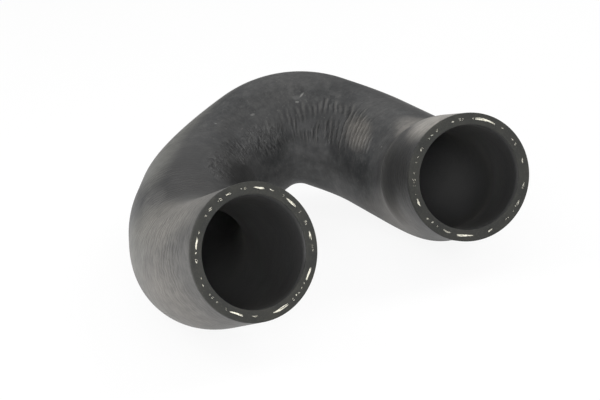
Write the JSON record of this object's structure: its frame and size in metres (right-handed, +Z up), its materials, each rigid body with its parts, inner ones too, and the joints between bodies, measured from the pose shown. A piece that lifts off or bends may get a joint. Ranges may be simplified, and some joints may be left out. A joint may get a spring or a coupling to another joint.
{
  "type": "radiator hose",
  "caption": "Bent moulded rubber coolant hose with a thick wall, open at both ends, with shallow folds on the inner side of its tight bend.",
  "frame": {"origin": "middle of the outline at the level of the surface that the hose lies on", "axes": "+Z up from the surface the hose lies on, +Y from the open ends towards the tight bend, +X from end A towards end B"},
  "size_m": [0.1666, 0.1766, 0.0696],
  "materials": {
    "rubber": "dull satin moulded rubber, dark grey and a little dusty",
    "cut_rubber": "matt knife-cut rubber at the end faces",
    "yarn": "cream reinforcement yarn, cut ends only"
  },
  "bodies": {
    "root": {"hose": "rubber"}
  },
  "joints": []
}
